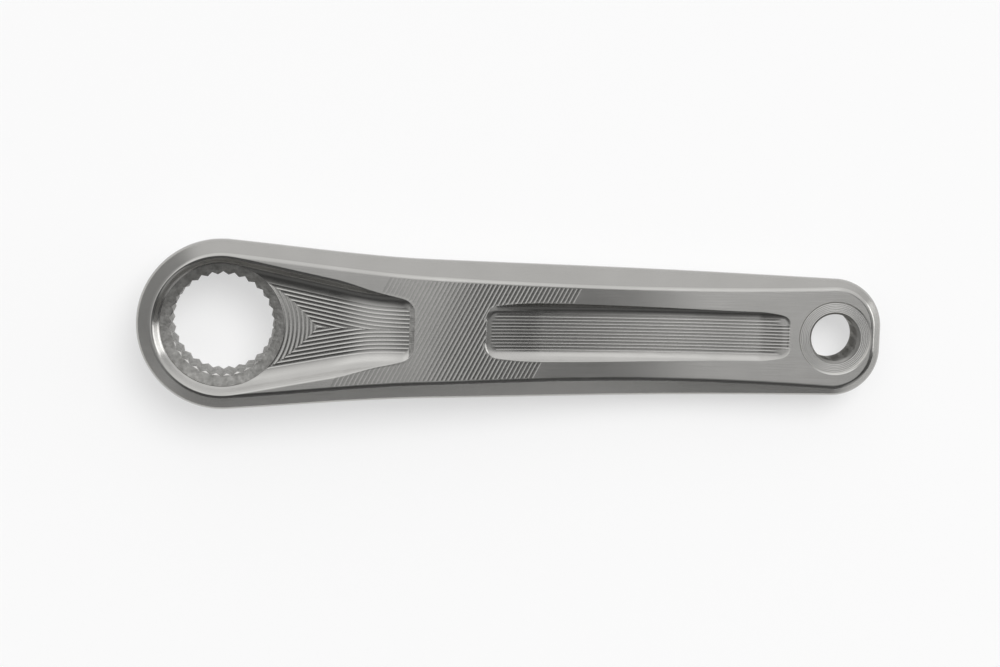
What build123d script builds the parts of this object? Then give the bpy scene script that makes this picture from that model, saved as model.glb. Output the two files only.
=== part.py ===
"""Bicycle crank arm, machined from one piece of aluminium. Sizes are in millimetres.

The origin is on the spindle axis at the inner face. +Z follows the spindle axis to
the outer face, and +X follows the arm to the pedal hole.
"""

import os
from math import atan, cos, radians, sin, sqrt, tan

from build123d import *

# The arm as a whole
CRANK_LENGTH = 170.0        # spindle axis to pedal axis
BOSS_THICKNESS = 20.5       # inner face to outer face at the spindle
PEDAL_THICKNESS = 13.4      # inner face to outer face at the pedal
FALL_START = 40.0           # the outer face falls in one S-curve from this far along the arm
FALL_MARGIN = 32.0          # to this far short of the pedal axis

# Splined bore
TEETH = 30
TOOTH_TIP_R = 13.65
TOOTH_DEPTH = 0.9
LEDGE_WIDTH = 3.25          # dull stepped ledge around the teeth
LEDGE_DEPTH = 3.2           # below the outer face
LEDGE_DIP = 1.5             # the ledge falls this far to the teeth
BORE_BEVEL = 0.2            # bevel at the inner end of the bore, past the tooth roots

# Trough: one ball-ended cut that rings the bore and runs out along the arm
CREST_WIDTH = 2.0           # coved wall between the ledge and the crest around the bore
COVE_R = 5.0
TROUGH_DEPTH = 2.9
TROUGH_TAPER = 11.3         # degrees that each wall of the trough closes in
TROUGH_END_HALF = 6.1       # half width of the floor where it runs out
TROUGH_END = 52.3           # where it runs out, from the spindle axis
TROUGH_RAMP = 22.3          # length of the ramp that brings the floor up
TROUGH_LIP = 0.14           # step left at the end of the ramp

# Long pocket in the middle of the arm
POCKET_START = 71.8         # from the spindle axis
POCKET_MARGIN = 12.7        # from the pedal axis
POCKET_HALF = 5.0           # half width of the floor
POCKET_COVE_R = 3.5
POCKET_DEPTH = 1.7          # at its deepest
POCKET_FAR_DEPTH = 0.55     # near the pedal
POCKET_RUN_IN = 16.0        # length of the dip at the spindle end
POCKET_RUN_OUT = 8.0        # length of the rise at the pedal end
POCKET_LIP = 0.06           # step left at both ends

# Pedal hole
PEDAL_R = 6.6               # crests of the pedal thread
SEAT_WIDTH = 3.4            # flat seat for the pedal washer
SEAT_DEPTH = 1.2
PEDAL_BEVEL = 0.6           # at both mouths of the hole
PEDAL_LAND = 3.8            # face left beside the seat
END_LAND = 0.4              # face left between the seat and the end of the arm

# Sides of the arm
BEVEL_BOSS, BEVEL_MIDDLE, BEVEL_PEDAL = 4.0, 5.3, 2.6     # width of the bevel in plan
BEVEL_WIDEST = 98.0                                       # where it starts to narrow again
BEVEL_ANGLE = 40.0          # degrees below the outer face
BOSS_LAND = 0.5             # between the crest and the start of the bevel
TAPER = 1.435               # degrees that each side of the arm closes in
NECK = 57.0                 # the sides flare out to the boss from here
CORNER_R = 13.4             # plan radius of the two corners at the pedal end
SIDE_BAND = 2.2             # upright band below the bevel
LEAN = 2.0                  # the sides then lean in by this much at the inner face
OUTER_EDGE_R, SHOULDER_R, LEAN_R, INNER_EDGE_R = 1.8, 2.0, 4.0, 1.5

# Worked out from the sizes above
TOOTH_ROOT_R = TOOTH_TIP_R + TOOTH_DEPTH
LEDGE_R = TOOTH_TIP_R + LEDGE_WIDTH
CREST_R = LEDGE_R + CREST_WIDTH
BOSS_FACE_R = CREST_R + BOSS_LAND
BOSS_R = BOSS_FACE_R + BEVEL_BOSS
SEAT_R = PEDAL_R + SEAT_WIDTH
PEDAL_HALF = SEAT_R + PEDAL_LAND + BEVEL_PEDAL
ARM_END = CRANK_LENGTH + SEAT_R + END_LAND + BEVEL_PEDAL
CORNER_X = ARM_END - CORNER_R
FALL_END = CRANK_LENGTH - FALL_MARGIN
POCKET_END = CRANK_LENGTH - POCKET_MARGIN
FLANK = tan(radians(TAPER))
WALL = tan(radians(TROUGH_TAPER))
RING_FLOOR_R = CREST_R - sqrt(COVE_R**2 - (COVE_R - TROUGH_DEPTH) ** 2)
ABOVE = BOSS_THICKNESS + COVE_R + 1     # clear of everything


def ease(value, start, end):
    """Smooth rise from 0 to 1 between start and end, level at both."""
    t = min(max((value - start) / (end - start), 0.0), 1.0)
    return t * t * (3 - 2 * t)


def spread(start, end, count):
    """Evenly spaced stations, both ends included."""
    return [start + (end - start) * i / (count - 1) for i in range(count)]


def face_z(x):
    """Height of the outer face along the arm."""
    return BOSS_THICKNESS - (BOSS_THICKNESS - PEDAL_THICKNESS) * ease(x, FALL_START, FALL_END)


def shoulder_z(x):
    """Height of the widest line of the arm, at the foot of the bevel."""
    return face_z(x) - tan(radians(BEVEL_ANGLE)) * (half_width(x) - face_half(x))


def half_width(x):
    """Half the width of the arm: the round boss, then a flared neck, then a straight taper."""
    straight = PEDAL_HALF + FLANK * (CORNER_X - x)
    flare = BOSS_R - PEDAL_HALF - FLANK * CORNER_X
    slope = flare / NECK + FLANK
    touch = BOSS_R * sin(atan(slope))
    if x < touch:
        return sqrt(BOSS_R**2 - x**2)
    t = min(x / NECK, 1.0)
    lift = BOSS_R * (1 / cos(atan(slope)) - 1)
    return straight + (flare + lift) * (1 - t) ** 2 * (1 + t)


def face_half(x):
    """Half the width of the outer face: the arm less its bevel."""
    bevel = BEVEL_BOSS + (BEVEL_MIDDLE - BEVEL_BOSS) * ease(x, 0, BEVEL_WIDEST)
    if x > BEVEL_WIDEST:
        t = (x - BEVEL_WIDEST) / (CORNER_X - BEVEL_WIDEST)
        bevel = BEVEL_MIDDLE - (BEVEL_MIDDLE - BEVEL_PEDAL) * t**2
    return half_width(x) - bevel


def trough_half(x):
    """Half the width of the trough floor: rings the bore, closes in, then runs level."""
    if x < RING_FLOOR_R * sin(radians(TROUGH_TAPER)):
        return sqrt(RING_FLOOR_R**2 - x**2)
    closing = RING_FLOOR_R / cos(radians(TROUGH_TAPER)) - WALL * x - TROUGH_END_HALF
    return TROUGH_END_HALF + (closing + sqrt(closing**2 + 0.8)) / 2


def trough_z(x):
    """Height of the trough floor, which ramps up to run out at the outer face."""
    low, high = BOSS_THICKNESS - TROUGH_DEPTH, face_z(TROUGH_END) - TROUGH_LIP
    foot, top = TROUGH_END - TROUGH_RAMP, TROUGH_END + 0.1 * TROUGH_RAMP
    return low + (high - low) * ease(x, foot, top) / ease(TROUGH_END, foot, top)


def pocket_z(x):
    """Height of the long pocket's floor, which dips in at one end and thins to the other."""
    dip = min((x - POCKET_START) / POCKET_RUN_IN, 1.0)
    rise = min((POCKET_END - x) / POCKET_RUN_OUT, 1.0)
    full = POCKET_DEPTH - (POCKET_DEPTH - POCKET_FAR_DEPTH) * ease(
        x, POCKET_START + POCKET_RUN_IN, POCKET_END - POCKET_RUN_OUT)
    return face_z(x) - max(full * sqrt(max(1 - (1 - dip) ** 2, 0)) * rise, POCKET_LIP)


def across(x):
    """Plane square to the arm: u runs along +Y and v along +Z."""
    return Plane(origin=(x, 0, 0), x_dir=(0, 1, 0), z_dir=(1, 0, 0))


def rounded(corners, plane):
    """Closed outline in the plane through (u, v, radius) corners; radius 0 stays sharp."""
    joints = []
    for i, (u, v, r) in enumerate(corners):
        corner = Vector(u, v)
        back = (Vector(*corners[i - 1][:2]) - corner).normalized()
        on = (Vector(*corners[(i + 1) % len(corners)][:2]) - corner).normalized()
        half_turn = radians(180 - back.get_angle(on)) / 2
        run = r * tan(half_turn)
        middle = corner + (back + on).normalized() * (r / cos(half_turn) - r)
        joints.append((corner + back * run, middle, corner + on * run))
    edges = []
    for i, (first, middle, last) in enumerate(joints):
        if corners[i][2] > 0:
            edges.append(ThreePointArc(first, middle, last))
        edges.append(Line(last, joints[(i + 1) % len(joints)][0]))
    return plane * make_face(edges)


def side_corners(x, inner):
    """Corners of one side of the arm's section, measured outward from the line at inner."""
    half = half_width(x) - inner
    return [
        (half - LEAN, 0, INNER_EDGE_R),
        (half, shoulder_z(x) - SIDE_BAND, LEAN_R),
        (half, shoulder_z(x), SHOULDER_R),
        (face_half(x) - inner, face_z(x), OUTER_EDGE_R),
    ]


def arm_section(x):
    """Whole cross-section of the arm."""
    side = side_corners(x, 0)
    return rounded(side + [(-u, v, r) for u, v, r in reversed(side)], across(x))


def half_section(x, inner, plane):
    """One side of the cross-section, closed along the line at inner."""
    return rounded([(0, 0, 0), *side_corners(x, inner), (0, face_z(x), 0)], plane)


def cove_section(x, half, floor_z, r):
    """Flat floor with a ball-end cove on each side, open at the top."""
    turn = r * sin(radians(45))
    wall, top = half + r, floor_z + r
    edges = [
        Line((-half, floor_z), (half, floor_z)),
        ThreePointArc((half, floor_z), (half + turn, top - turn), (wall, top)),
        Line((wall, top), (wall, ABOVE)),
        Line((wall, ABOVE), (-wall, ABOVE)),
        Line((-wall, ABOVE), (-wall, top)),
        ThreePointArc((-wall, top), (-half - turn, top - turn), (-half, floor_z)),
    ]
    return across(x) * make_face(edges)


def build_arm():
    """Plain arm: round spindle end, lofted middle and square-ended pedal end."""
    near_boss = [0, 3, 10, 22]
    middle = loft([arm_section(x) for x in near_boss + spread(38, CORNER_X, 8)])
    boss = revolve(half_section(0, 0, across(0)), Axis.Z, 180)

    inner = PEDAL_HALF - CORNER_R
    corner = Pos(CORNER_X, inner, 0) * half_section(CORNER_X, inner, Plane.XZ)
    upper = revolve(corner, Axis((CORNER_X, inner, 0), (0, 0, 1)), 90)
    tip = extrude(corner, 2 * inner)
    return middle + boss + upper + mirror(upper, Plane.XZ) + tip


def build_trough():
    """Keyhole cut: a run along the arm and half a ring around the bore."""
    level_end = TROUGH_END - TROUGH_RAMP
    stations = [0, 1.5, 4, *spread(10, level_end, 3), *spread(level_end, TROUGH_END, 5)[1:]]
    run = loft([cove_section(x, trough_half(x), trough_z(x), COVE_R) for x in stations])
    half = cove_section(0, trough_half(0), trough_z(0), COVE_R) & (
        across(0) * Rectangle(ABOVE, 2 * ABOVE, align=(Align.MIN, Align.CENTER)))
    return run + revolve(half, Axis.Z, 180)


def build_pocket():
    """Long shallow pocket whose floor runs out into the face at both ends."""
    dip_end, rise_start = POCKET_START + POCKET_RUN_IN, POCKET_END - POCKET_RUN_OUT
    stations = [
        POCKET_START, POCKET_START + 0.15 * POCKET_RUN_IN, POCKET_START + 0.5 * POCKET_RUN_IN,
        *spread(dip_end, rise_start, 5), POCKET_END - 0.4 * POCKET_RUN_OUT, POCKET_END]
    return loft([cove_section(x, POCKET_HALF, pocket_z(x), POCKET_COVE_R) for x in stations])


def build_bore():
    """Ledge, toothed bore and the bevel at its inner end."""
    ledge_z = BOSS_THICKNESS - LEDGE_DEPTH
    ledge = make_face(Polyline(
        (0, ledge_z - LEDGE_DIP), (TOOTH_TIP_R, ledge_z - LEDGE_DIP), (LEDGE_R, ledge_z),
        (LEDGE_R, ABOVE), (0, ABOVE), close=True))
    reach = TOOTH_DEPTH + BORE_BEVEL
    bevel = make_face(Polyline(
        (0, -1), (TOOTH_TIP_R + reach + 1, -1), (TOOTH_TIP_R, reach), (0, reach), close=True))
    tips_and_roots = []
    for i in range(2 * TEETH):
        r, turn = (TOOTH_ROOT_R if i % 2 else TOOTH_TIP_R), radians(180 * i / TEETH)
        tips_and_roots.append((r * cos(turn), r * sin(turn)))
    teeth = extrude(Pos(0, 0, -1) * make_face(Polyline(*tips_and_roots, close=True)), ABOVE)
    return [revolve(Plane.XZ * ledge, Axis.Z), teeth, revolve(Plane.XZ * bevel, Axis.Z)]


def build_pedal_hole():
    """Washer seat and the pedal hole, bevelled at both mouths."""
    seat_z, bevel, r = PEDAL_THICKNESS - SEAT_DEPTH, PEDAL_BEVEL, PEDAL_R
    profile = make_face(Polyline(
        (0, -1), (r + bevel + 1, -1), (r, bevel), (r, seat_z - bevel), (r + bevel, seat_z),
        (SEAT_R, seat_z), (SEAT_R, ABOVE), (0, ABOVE), close=True))
    return Pos(CRANK_LENGTH, 0, 0) * revolve(Plane.XZ * profile, Axis.Z)


crank_arm = build_arm()
for cut in [build_trough(), build_pocket(), *build_bore(), build_pedal_hole()]:
    crank_arm = crank_arm - cut
crank_arm = crank_arm.solid()
crank_arm.label = "crank_arm"

os.makedirs("parts", exist_ok=True)
export_step(crank_arm, "parts/crank_arm.step")
print("crank_arm volume", round(crank_arm.volume), "box", crank_arm.bounding_box())
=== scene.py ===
# %% [markdown]
# # A machined crank arm
# A crank arm joins a bicycle's spindle to its pedal. This one is milled from one bar of aluminium,
# with a splined hole, a threaded hole and two shallow pockets in the outer face. What the eye
# notices is how the cutter left each surface: ridged floors, slanted ridges, bright coves, smooth
# bevels. The lesson rebuilds those surfaces with numpy and closes them into one mesh.

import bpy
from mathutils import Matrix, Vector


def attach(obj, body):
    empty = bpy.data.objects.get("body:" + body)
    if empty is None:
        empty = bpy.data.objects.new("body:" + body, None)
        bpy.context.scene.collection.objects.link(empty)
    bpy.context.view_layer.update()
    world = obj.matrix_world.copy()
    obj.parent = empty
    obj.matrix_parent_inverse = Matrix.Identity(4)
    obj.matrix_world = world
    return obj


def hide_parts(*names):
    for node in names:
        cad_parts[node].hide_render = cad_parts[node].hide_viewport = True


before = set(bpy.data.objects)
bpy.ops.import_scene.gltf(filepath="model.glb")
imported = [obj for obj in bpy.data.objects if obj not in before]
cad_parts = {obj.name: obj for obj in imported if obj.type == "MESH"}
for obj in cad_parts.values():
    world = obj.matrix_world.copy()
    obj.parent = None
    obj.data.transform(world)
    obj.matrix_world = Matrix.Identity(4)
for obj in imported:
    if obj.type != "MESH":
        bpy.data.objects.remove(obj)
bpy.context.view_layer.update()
print("packed nodes:", sorted(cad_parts))

# %% [markdown]
# ## The arm's sizes
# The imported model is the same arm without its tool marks. Its mesh could be measured, but the
# ridges have to follow its curves exactly, so its sizes are repeated here, in millimetres. X runs
# along the arm from the spindle axis, Z from the inner to the outer face.

import bmesh
import bpy
import numpy as np
from mathutils.geometry import delaunay_2d_cdt

# the two axes, the thickness at each, and where the face falls between them
CRANK_LENGTH, BOSS_THICKNESS, PEDAL_THICKNESS = 170.0, 20.5, 13.4
FALL_START, FALL_END = 40.0, CRANK_LENGTH - 32.0
# bore: teeth, the lead-in at their ends, the ledge above them, the bevel at the inner face
TEETH, TOOTH_TIP_R, TOOTH_ROOT_R, LEAD_IN_R, LEAD_IN_SLOPE = 30, 13.65, 14.55, 14.15, 0.25
LEDGE_R, LEDGE_DEPTH, LEDGE_DIP, BORE_BEVEL = 16.9, 3.2, 1.5, 0.2
# trough: crest, coves with their straight flanks, run along the arm
CREST_R, COVE_R, TROUGH_DEPTH, TROUGH_TAPER = 18.9, 5.0, 2.9, np.radians(11.3)
FLANK = np.radians(46.0)
TROUGH_END_HALF, TROUGH_END, TROUGH_RAMP, TROUGH_LIP, FLOOR_CORNER = 6.1, 52.3, 22.3, 0.2, 1.8
# long pocket: ends, half width and coves, depths, run in and out
POCKET_START, POCKET_END = 71.8, CRANK_LENGTH - 12.7
POCKET_HALF, POCKET_COVE_R, POCKET_DEPTH, POCKET_FAR_DEPTH = 5.0, 3.5, 1.7, 0.55
POCKET_RUN_IN, POCKET_RUN_OUT, POCKET_LIP, POCKET_STEP = 16.0, 8.0, 0.15, 0.3
# pedal hole and washer seat
PEDAL_R, SEAT_R, SEAT_DEPTH, SEAT_BREAK, PEDAL_BEVEL = 6.6, 10.0, 1.2, 0.3, 0.6
# bevel: widths along the arm, and slope
BEVEL_BOSS, BEVEL_MIDDLE, BEVEL_PEDAL, BEVEL_WIDEST = 4.0, 5.3, 2.6, 98.0
BEVEL_ANGLE = np.radians(40.0)
# outline, leaning sides, rounded edges
BOSS_R, PEDAL_HALF, ARM_END, CORNER_R = 23.4, 16.4, 183.0, 13.4
TAPER, NECK, SIDE_BAND, LEAN = np.radians(1.435), 57.0, 2.2, 2.0
OUTER_EDGE_R, SHOULDER_R, LEAN_R, INNER_EDGE_R = 1.8, 2.0, 4.0, 1.5
# what follows from them
CORNER_X, CORNER_Y = ARM_END - CORNER_R, PEDAL_HALF - CORNER_R
RAMP_FOOT = TROUGH_END - TROUGH_RAMP
STRIP_HALF = TROUGH_END_HALF - FLOOR_CORNER
SEAT_Z, MOUTH_R = PEDAL_THICKNESS - SEAT_DEPTH, PEDAL_R + PEDAL_BEVEL
FLANK_RISE = TROUGH_DEPTH - COVE_R * (1 - np.cos(FLANK))
RING_FLOOR_R = CREST_R - COVE_R * np.sin(FLANK) - FLANK_RISE / np.tan(FLANK)
print("arm of", ARM_END + BOSS_R, "mm,", CRANK_LENGTH, "mm between the two axes")

# %% [markdown]
# ## Curves along the arm
# The arm's height, its width and the depth of its pockets change along X. They could be drawn as
# Blender curves. Here each is one formula that takes a whole array of X values, so that a surface
# can ask for thousands of heights at once.

# %% Curves along the arm
# softness of the bend in the trough's side, and how far past its end the ramp's curve is aimed
TROUGH_BEND, RAMP_AIM = 0.8, 0.1


def ease(value, start, end):
    """Smooth rise from 0 to 1 between start and end, level at both: 3 t squared less 2 t cubed."""
    t = np.clip((value - start) / (end - start), 0, 1)
    return t * t * (3 - 2 * t)


def face_z(x):
    """Height of the outer face: level at the spindle, one S-curve down, level at the pedal."""
    return BOSS_THICKNESS - (BOSS_THICKNESS - PEDAL_THICKNESS) * ease(x, FALL_START, FALL_END)


def shoulder_z(x):
    """Height of the arm's widest line, at the foot of a bevel that slopes the same all along."""
    return face_z(x) - np.tan(BEVEL_ANGLE) * (half_width(x) - face_half(x))


def half_width(x):
    """Half the arm's width: the boss's circle, then a flare that dies out over a straight taper."""
    straight = PEDAL_HALF + np.tan(TAPER) * (CORNER_X - x)
    flare = BOSS_R - PEDAL_HALF - np.tan(TAPER) * CORNER_X
    slope = np.arctan(flare / NECK + np.tan(TAPER))
    t = np.clip(x / NECK, 0, 1)
    neck = straight + (flare + BOSS_R * (1 / np.cos(slope) - 1)) * (1 - t) ** 2 * (1 + t)
    return np.where(x < BOSS_R * np.sin(slope), np.sqrt(np.maximum(BOSS_R**2 - x**2, 0)), neck)


def face_half(x):
    """Half the outer face's width: the arm's half width less the bevel, which is widest midway."""
    widening = BEVEL_BOSS + (BEVEL_MIDDLE - BEVEL_BOSS) * ease(x, 0, BEVEL_WIDEST)
    t = (x - BEVEL_WIDEST) / (CORNER_X - BEVEL_WIDEST)
    narrowing = BEVEL_MIDDLE - (BEVEL_MIDDLE - BEVEL_PEDAL) * t**2
    return half_width(x) - np.where(x > BEVEL_WIDEST, narrowing, widening)


def trough_half(x):
    """Half width of the trough floor: rings the bore, closes in on a straight line, runs level."""
    line = RING_FLOOR_R / np.cos(TROUGH_TAPER) - np.tan(TROUGH_TAPER) * x - TROUGH_END_HALF
    ring = np.sqrt(np.maximum(RING_FLOOR_R**2 - x**2, 0))
    closing = TROUGH_END_HALF + (line + np.sqrt(line**2 + TROUGH_BEND)) / 2
    return np.where(x < RING_FLOOR_R * np.sin(TROUGH_TAPER), ring, closing)


def trough_z(x):
    """Height of the trough floor: level, then a ramp up that ends just below the outer face."""
    low, high = BOSS_THICKNESS - TROUGH_DEPTH, face_z(TROUGH_END) - TROUGH_LIP
    top = TROUGH_END + RAMP_AIM * TROUGH_RAMP
    return low + (high - low) * ease(x, RAMP_FOOT, top) / ease(TROUGH_END, RAMP_FOOT, top)


def pocket_z(x):
    """Height of the long pocket's floor: a step and a round dip in, a slow thinning, a rise out."""
    dip = np.clip((x - POCKET_START) / POCKET_RUN_IN, 0, 1)
    rise = np.clip((POCKET_END - x) / POCKET_RUN_OUT, 0, 1)
    full = POCKET_DEPTH - (POCKET_DEPTH - POCKET_FAR_DEPTH) * ease(
        x, POCKET_START + POCKET_RUN_IN, POCKET_END - POCKET_RUN_OUT)
    depth = (POCKET_STEP + (full - POCKET_STEP) * (1 - (1 - dip) ** 2)) * rise
    return face_z(x) - np.maximum(depth, POCKET_LIP)


print("face height at 0, 97 and 170 mm:", np.round(face_z(np.array([0.0, 97.0, 170.0])), 2))

# %% [markdown]
# ## The sides: one profile carried round the arm
# From the inner face a rounded edge leads up a side that leans out, over a shoulder and up a broad
# bevel. It could be a bevelled curve in Blender, but the bevel changes width along the arm. So
# every station round the outline works out its own four corners and rounds them, all at once.

# %% Profile of the sides, rounded at its corners
# length of the first and last run, which only give a heading; points on each rounding
FLAT_RUN, ARC_STEPS = 9, 7
BOSS_STATIONS, FLANK_STATIONS, CORNER_STATIONS, TIP_STATIONS = 121, 161, 31, 9


def columns(*parts):
    """The given values side by side along a last axis, stretched to one shape."""
    return np.stack(np.broadcast_arrays(*parts), -1)


def side_profile(x, inner, steps):
    """Rounded profile for sections at x, measured outward from the line at inner.

    Five straight runs meet at four corners, each rounded by an arc that starts radius times
    tan(half the turn) before it. Returns outward distance, height and heading, each with one row
    per section and four arcs of `steps` points."""
    half, face = half_width(x) - inner, face_half(x) - inner
    shoulder, top, ground = shoulder_z(x), face_z(x), np.zeros_like(x)
    u = np.stack([half - LEAN - FLAT_RUN, half - LEAN, half, half, face, face - FLAT_RUN])
    z = np.stack([ground, ground, shoulder - SIDE_BAND, shoulder, top, top])
    heading = np.arctan2(np.diff(z, axis=0), np.diff(u, axis=0))
    turn = np.diff(heading, axis=0)
    radius = np.array([INNER_EDGE_R, LEAN_R, SHOULDER_R, OUTER_EDGE_R])[:, None]
    run = radius * np.tan(turn / 2)
    start_u = u[1:-1] - run * np.cos(heading[:-1])
    start_z = z[1:-1] - run * np.sin(heading[:-1])
    along = heading[:-1, None] + np.linspace(0, 1, steps)[None, :, None] * turn[:, None]
    arc_u = (start_u - radius * np.sin(heading[:-1]))[:, None] + radius[:, None] * np.sin(along)
    arc_z = (start_z + radius * np.cos(heading[:-1]))[:, None] - radius[:, None] * np.cos(along)
    return tuple(rows.reshape(4 * steps, -1).T for rows in (arc_u, arc_z, along))


def outline_stations():
    """Stations round the arm: base point, outward direction, section x and inner line of each."""
    boss = np.radians(np.linspace(90, 270, BOSS_STATIONS)[1:-1])
    flank = np.linspace(0, CORNER_X, FLANK_STATIONS)
    corner = np.radians(np.linspace(-90, 0, CORNER_STATIONS)[1:])
    tip = np.linspace(-CORNER_Y, CORNER_Y, TIP_STATIONS)[1:-1]
    left = columns(0, 0, np.cos(boss), np.sin(boss), 0, 0)
    low = columns(flank, 0, 0, -1, flank, 0)
    turn = columns(CORNER_X, -CORNER_Y, np.cos(corner), np.sin(corner), CORNER_X, CORNER_Y)
    top = columns(CORNER_X, tip, 1, 0, CORNER_X, CORNER_Y)
    flip = np.array([1, -1, 1, -1, 1, 1])
    return np.vstack([left, low, turn, top, (turn * flip)[::-1], (low * flip)[::-1]])


base_x, base_y, out_x, out_y, section_x, section_inner = outline_stations().T
# the fourth arc rounds the face's edge and belongs to the outer net, so only its start stays
side_u, side_z, side_heading = (
    rows[:, : 3 * ARC_STEPS + 1] for rows in side_profile(section_x, section_inner, ARC_STEPS))
base, out = columns(base_x, base_y)[:, None], columns(out_x, out_y)[:, None]
side_points = np.dstack([base + out * side_u[..., None], side_z])
up_profile = np.dstack([out * np.cos(side_heading)[..., None], np.sin(side_heading)])
round_arm = np.roll(side_points, -1, 0) - np.roll(side_points, 1, 0)
side_normals = np.cross(round_arm, up_profile)
side_normals /= np.linalg.norm(side_normals, axis=-1, keepdims=True)
print("sides:", side_points.shape[0], "stations of", side_points.shape[1], "points")

# %% [markdown]
# ## The outer face as a height over the plan
# Every point of the outer side has one height: the lowest of the face, the trough and the long
# pocket. The pockets could be cut with Booleans, but a height can carry the tool marks as well. A
# ball-ended cutter leaves a flat floor with a round cove, and a tilted one ends the cove in a
# straight flank. So a pocket's height is its floor plus a rise with the distance past it.

# %% Heights of the face, the trough and the pocket
# plan width of the rounding at the face's edge
EDGE_WIDTH = OUTER_EDGE_R * np.sin(BEVEL_ANGLE)


def plan_place(x, y):
    """Outward distance of a plan point and the section that it belongs to."""
    past = np.hypot(np.maximum(x - CORNER_X, 0), np.maximum(np.abs(y) - CORNER_Y, 0))
    outward = np.where(x > CORNER_X, past + CORNER_Y, np.where(x < 0, np.hypot(x, y), np.abs(y)))
    return outward, np.clip(x, 0, CORNER_X)


def rounding_start(section):
    """Where the rounding at the face's edge starts: radius times tan(half the bevel) before it."""
    return face_half(section) - OUTER_EDGE_R * np.tan(BEVEL_ANGLE / 2)


def past_flat(x, y):
    """Distance past the flat of the face, into the rounding at its edge."""
    outward, section = plan_place(x, y)
    return outward - rounding_start(section)


def outer_face(x, y):
    """Height of the face with its rounded edge: a circle falls away past the flat."""
    past = np.clip(past_flat(x, y), 0, EDGE_WIDTH)
    return face_z(x) - OUTER_EDGE_R + np.sqrt(OUTER_EDGE_R**2 - past**2)


def cove_rise(past, radius):
    """Rise of a cove past the floor: a circle up to the flank's tilt, then a straight line."""
    round_end = radius * np.sin(FLANK)
    circle = radius - np.sqrt(radius**2 - np.clip(past, 0, round_end) ** 2)
    return circle + np.tan(FLANK) * np.maximum(past - round_end, 0)


def cove_width(depth, radius):
    """Plan width of a shallow cove of that depth, from the same circle."""
    return np.sqrt(radius**2 - (radius - depth) ** 2)


TROUGH_FLOOR_END = TROUGH_END - cove_width(TROUGH_LIP, COVE_R)
POCKET_FLOOR_START = POCKET_START + cove_width(POCKET_STEP, POCKET_COVE_R)
POCKET_FLOOR_END = POCKET_END - cove_width(POCKET_LIP, POCKET_COVE_R)


def past_corner(beside, beyond):
    """Distance past a floor with rounded corners, from the distances past its side and its end."""
    side, end = beside + FLOOR_CORNER, beyond + FLOOR_CORNER
    past = np.hypot(np.maximum(side, 0), np.maximum(end, 0)) - FLOOR_CORNER
    return np.where((side > 0) & (end > 0), past, np.maximum(beside, beyond))


def past_trough_floor(x, y):
    """Distance past the trough floor: outside the ring, beside the run, or beyond its end."""
    outside_ring = np.hypot(x, y) - RING_FLOOR_R
    beside = np.where(x < 0, outside_ring, np.abs(y) - trough_half(np.maximum(x, 0)))
    return np.where(x < LEDGE_R, beside, past_corner(beside, x - TROUGH_FLOOR_END))


def past_pocket_floor(x, y):
    """Distance past the long pocket's floor: beside it or beyond one of its ends."""
    beyond = np.maximum(POCKET_FLOOR_START - x, x - POCKET_FLOOR_END)
    return past_corner(np.abs(y) - POCKET_HALF, beyond)


def up_pocket_end(x, y):
    """True where the long pocket's marks run on, up its far end and between its corners."""
    return (x > POCKET_FLOOR_END) & (np.abs(y) < POCKET_HALF - FLOOR_CORNER)


def trough(x, y):
    """Height of the trough: its floor plus the cove."""
    return trough_z(x) + cove_rise(past_trough_floor(x, y), COVE_R)


def pocket(x, y):
    """Height of the long pocket: its floor plus the cove."""
    return pocket_z(x) + cove_rise(past_pocket_floor(x, y), POCKET_COVE_R)


print("trough floor ends at", round(TROUGH_FLOOR_END, 2), "mm")
print("pocket floor:", round(POCKET_FLOOR_START, 2), "to", round(POCKET_FLOOR_END, 2), "mm")

# %% [markdown]
# ## Tool marks
# A round cutter that steps sideways leaves a row of grooves, and a tilted one leaves grooves that
# lean. The trough was cut in loops along its outline, the face in slanted passes, the long pocket
# in lengthwise ones. A bump texture could show them, but true grooves catch the light from every
# side. A cutter bites unevenly, so each family has a strength that eases along the arm. Real
# ridges are two or three hundredths of a millimetre high. They are drawn higher here, so that they
# show.

# %% Rows of grooves
# place of a leaning groove's bottom, as a share of its pitch
BOTTOM = 0.7
LOOP_PITCH, DIMPLE_PITCH, LENGTH_PASSES = 1.1, 0.6, 11
LENGTH_PITCH = 2 * POCKET_HALF / LENGTH_PASSES
SLANT_PITCH, SLANT_ANGLE, SLANT_FROM, SLANT_PASSES = 1.07, np.radians(63.0), 33.7, 45
SLANT_TO = SLANT_FROM + SLANT_PASSES * SLANT_PITCH
SLOPE_STEP = 0.1


def groove(phase):
    """Depth of a row of grooves from 0 at each whole phase (a ridge) to 1 midway: a parabola."""
    f = phase - np.floor(phase)
    return 4 * f * (1 - f)


def leaning_groove(phase):
    """The same groove from a tilted cutter: its bottom lies at BOTTOM, not midway."""
    f = phase - np.floor(phase)
    return groove(np.where(f < BOTTOM, f / BOTTOM, 1 + (f - BOTTOM) / (1 - BOTTOM)) / 2)


def slant_place(x, y):
    """Distance of a plan point across the slanted passes."""
    return x * np.sin(SLANT_ANGLE) - y * np.cos(SLANT_ANGLE)


def on_slant(x, y):
    """True between the first and the last of the slanted passes."""
    across = slant_place(x, y)
    return (across > SLANT_FROM) & (across < SLANT_TO)


def side_squareness(x):
    """Cosine of the angle between the trough floor's side and X, by a central difference."""
    x = np.maximum(x, SLOPE_STEP)
    slope = (trough_half(x + SLOPE_STEP) - trough_half(x - SLOPE_STEP)) / (2 * SLOPE_STEP)
    return np.cos(np.arctan(slope))


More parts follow.
